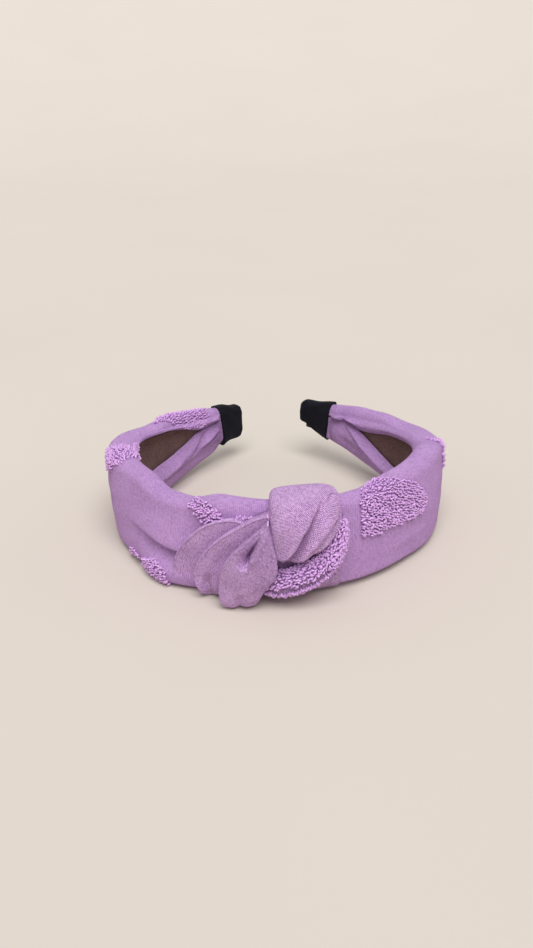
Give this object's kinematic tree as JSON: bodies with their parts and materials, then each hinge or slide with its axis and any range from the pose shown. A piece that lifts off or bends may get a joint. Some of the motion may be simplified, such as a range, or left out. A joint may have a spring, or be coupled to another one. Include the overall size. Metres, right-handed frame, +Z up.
{
  "type": "spa headband",
  "caption": "Sprung C-shaped hairband: padded plastic hoop in soft jersey with raised terry leaves, a knot at the crown and velvet end sleeves.",
  "frame": {"origin": "on the table under the centre of the whole box, with the band lying on its lower edge", "axes": "+Z up across the band, -Y towards the knotted crown, +Y towards the open ends, +X to the right arm as seen from the knot side"},
  "size_m": [0.1496, 0.1592, 0.0481],
  "materials": {
    "cover_jersey": "matte",
    "terry_pile": "matte",
    "lining_suede": "matte",
    "sleeve_velvet": "matte",
    "pad_foam": "matte",
    "hoop_plastic": "satin",
    "thread": "matte"
  },
  "bodies": {
    "crown": {"hoop_crown": "hoop_plastic", "foam_pad_crown": "pad_foam", "lining_crown": "lining_suede", "cover_front_left": "cover_jersey", "cover_front_right": "cover_jersey", "knot_wrap": "cover_jersey", "knot_pleat_front": "cover_jersey", "knot_pleat_middle": "cover_jersey", "knot_pleat_rear": "cover_jersey", "knot_terry_turn": "cover_jersey", "tacking_stitches": "thread"},
    "arm_left": {"hoop_arm_left": "hoop_plastic", "foam_pad_arm_left": "pad_foam", "lining_arm_left": "lining_suede", "cover_arm_left": "cover_jersey", "end_sleeve_left": "sleeve_velvet"},
    "arm_right": {"hoop_arm_right": "hoop_plastic", "foam_pad_arm_right": "pad_foam", "lining_arm_right": "lining_suede", "cover_arm_right": "cover_jersey", "end_sleeve_right": "sleeve_velvet"}
  },
  "joints": [
    {"name": "arm_left_flex", "type": "hinge", "parent": "crown", "child": "arm_left", "pos_m": [-0.05724, -0.0411, 0.02254], "axis": [0, 0, 1], "range_deg": [0, 20], "stiffness_Nm_per_rad": 0.3},
    {"name": "arm_right_flex", "type": "hinge", "parent": "crown", "child": "arm_right", "pos_m": [0.05724, -0.0411, 0.02254], "axis": [0, 0, -1], "range_deg": [0, 20], "stiffness_Nm_per_rad": 0.3}
  ]
}
